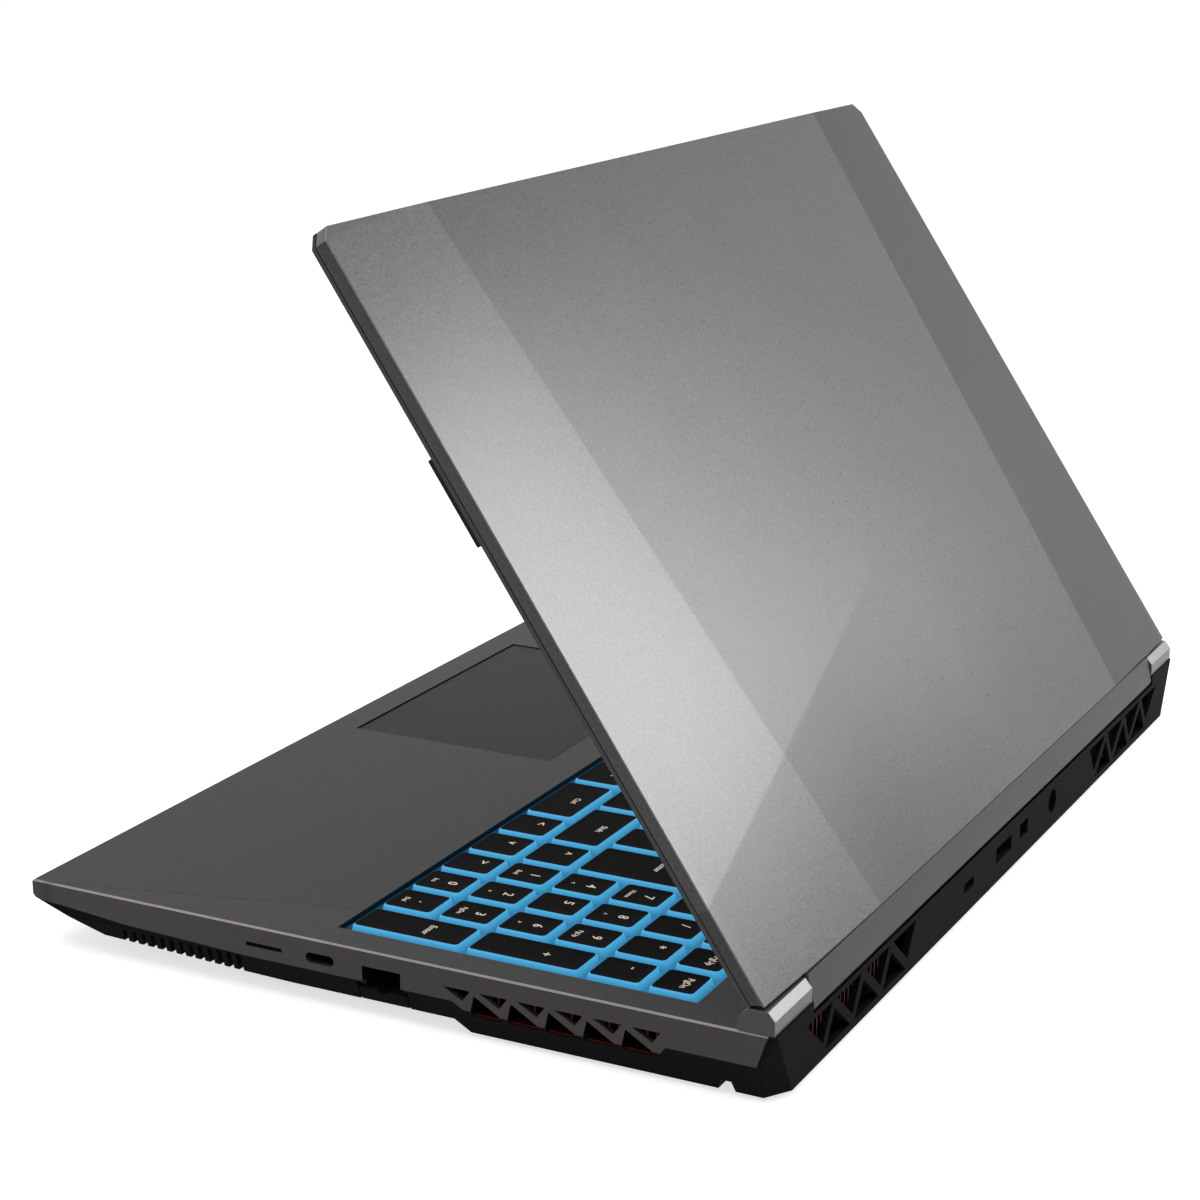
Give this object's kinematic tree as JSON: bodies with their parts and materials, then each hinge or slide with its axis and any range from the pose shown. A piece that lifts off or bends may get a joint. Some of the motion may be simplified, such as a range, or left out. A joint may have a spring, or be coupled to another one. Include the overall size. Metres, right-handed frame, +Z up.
{
  "type": "laptop computer",
  "caption": "Laptop computer with a hinged lid, backlit keyboard with number pad, touchpad, side and rear sockets and vented rear corners.",
  "frame": {"origin": "on the table under the middle of the case, at the bottoms of the rubber feet", "axes": "+X to the right of a person typing, +Y towards the hinge, +Z up; the lid rests open as in the picture"},
  "size_m": [0.36, 0.238, 0.2185],
  "materials": {
    "case_aluminium": "bead blasted, dark grey anodised",
    "cap_plastic": "painted grey, fine texture",
    "cover_plastic": "moulded black, fine texture",
    "bezel_plastic": "moulded black, fine texture",
    "touchpad_film": "satin film",
    "screen_glass": "anti-glare laminate of glass and films",
    "key_plastic": "black top on translucent sides",
    "light_guide": "lit blue film",
    "steel": "pressed sheet",
    "board": "solder mask",
    "battery_foil": "black wrap",
    "copper": "bare copper",
    "fan_plastic": "moulded",
    "rubber": "moulded"
  },
  "bodies": {
    "base": {"bottom_cover": "cover_plastic", "rear_panel": "cover_plastic", "top_case": "case_aluminium", "hinge_cap_right": "cap_plastic", "hinge_cap_left": "cap_plastic", "keyboard_plate": "steel", "keyboard_light_guide": "light_guide", "motherboard": "board", "side_board_right": "board", "side_board_left": "board", "battery_pack": "battery_foil", "ssd_card": "board", "memory_modules": "board", "wireless_card": "board", "heat_pipes": "copper", "cold_plates": "copper", "rear_fins_right": "copper", "rear_fins_left": "copper", "side_fins_right": "copper", "side_fins_left": "copper", "fan_housing_right": "fan_plastic", "fan_housing_left": "fan_plastic", "speaker_right": "fan_plastic", "speaker_left": "fan_plastic", "card_slot": "steel", "side_usb_c_socket": "steel", "network_jack": "fan_plastic", "usb_a_socket": "steel", "audio_jacks": "fan_plastic", "rear_usb_c_socket": "steel", "display_socket_wide": "steel", "display_socket_small": "steel", "power_inlet": "fan_plastic", "rubber_feet": "rubber", "cover_screws": "steel", "hinge_bracket_right": "steel", "hinge_bracket_left": "steel", "touchpad_bracket": "steel"},
    "lid": {"lid_cover": "case_aluminium", "lid_bezel": "bezel_plastic", "display_panel": "screen_glass", "hinge_bar": "cap_plastic", "hinge_arm_right": "steel", "hinge_arm_left": "steel", "camera_module": "fan_plastic", "lid_bumpers": "rubber"},
    "fan_rotor_right": {"fan_rotor_right": "fan_plastic"},
    "fan_rotor_left": {"fan_rotor_left": "fan_plastic"},
    "touchpad": {"touchpad": "touchpad_film"},
    "power_button": {"power_button": "bezel_plastic"},
    "network_jaw": {"network_jaw": "cover_plastic"},
    "function_keys": {"function_keys": "key_plastic"},
    "number_keys": {"number_keys": "key_plastic"},
    "upper_letter_keys": {"upper_letter_keys": "key_plastic"},
    "middle_letter_keys": {"middle_letter_keys": "key_plastic"},
    "lower_letter_keys": {"lower_letter_keys": "key_plastic"},
    "bottom_keys": {"bottom_keys": "key_plastic"},
    "space_bar": {"space_bar": "key_plastic"},
    "enter_key": {"enter_key": "key_plastic"},
    "numpad_keys": {"numpad_keys": "key_plastic"}
  },
  "joints": [
    {"name": "lid_hinge", "type": "hinge", "parent": "base", "child": "lid", "pos_m": [0, 0.1138, 0.0217], "axis": [-1, 0, 0], "range_deg": [-56.19, 79.8]},
    {"name": "fan_right_spin", "type": "hinge", "parent": "base", "child": "fan_rotor_right", "pos_m": [0.125, 0.062, 0.008], "axis": [0, 0, 1], "continuous": true},
    {"name": "fan_left_spin", "type": "hinge", "parent": "base", "child": "fan_rotor_left", "pos_m": [-0.125, 0.062, 0.008], "axis": [0, 0, 1], "continuous": true},
    {"name": "touchpad_click", "type": "hinge", "parent": "base", "child": "touchpad", "pos_m": [-0.032, -0.0334, 0.0193], "axis": [1, 0, 0], "range_deg": [0, 0.45], "stiffness_Nm_per_rad": 4, "springref_deg": -0.57},
    {"name": "power_button_press", "type": "slide", "parent": "base", "child": "power_button", "axis": [0, 0, -1], "range_m": [0, 0.0006], "stiffness_N_per_m": 800, "springref_m": -0.0005},
    {"name": "network_jaw_drop", "type": "hinge", "parent": "base", "child": "network_jaw", "pos_m": [0.1656, 0.00075, 0.0076], "axis": [0, 1, 0], "range_deg": [0, 12], "stiffness_Nm_per_rad": 0.02, "springref_deg": -5.73},
    {"name": "function_keys_press", "type": "slide", "parent": "base", "child": "function_keys", "axis": [0, 0, -1], "range_m": [0, 0.0015], "stiffness_N_per_m": 300, "springref_m": -0.001},
    {"name": "number_keys_press", "type": "slide", "parent": "base", "child": "number_keys", "axis": [0, 0, -1], "range_m": [0, 0.0015], "stiffness_N_per_m": 300, "springref_m": -0.001},
    {"name": "upper_letter_keys_press", "type": "slide", "parent": "base", "child": "upper_letter_keys", "axis": [0, 0, -1], "range_m": [0, 0.0015], "stiffness_N_per_m": 300, "springref_m": -0.001},
    {"name": "middle_letter_keys_press", "type": "slide", "parent": "base", "child": "middle_letter_keys", "axis": [0, 0, -1], "range_m": [0, 0.0015], "stiffness_N_per_m": 300, "springref_m": -0.001},
    {"name": "lower_letter_keys_press", "type": "slide", "parent": "base", "child": "lower_letter_keys", "axis": [0, 0, -1], "range_m": [0, 0.0015], "stiffness_N_per_m": 300, "springref_m": -0.001},
    {"name": "bottom_keys_press", "type": "slide", "parent": "base", "child": "bottom_keys", "axis": [0, 0, -1], "range_m": [0, 0.0015], "stiffness_N_per_m": 300, "springref_m": -0.001},
    {"name": "space_bar_press", "type": "slide", "parent": "base", "child": "space_bar", "axis": [0, 0, -1], "range_m": [0, 0.0015], "stiffness_N_per_m": 300, "springref_m": -0.001},
    {"name": "enter_key_press", "type": "slide", "parent": "base", "child": "enter_key", "axis": [0, 0, -1], "range_m": [0, 0.0015], "stiffness_N_per_m": 300, "springref_m": -0.001},
    {"name": "numpad_keys_press", "type": "slide", "parent": "base", "child": "numpad_keys", "axis": [0, 0, -1], "range_m": [0, 0.0015], "stiffness_N_per_m": 300, "springref_m": -0.001}
  ]
}
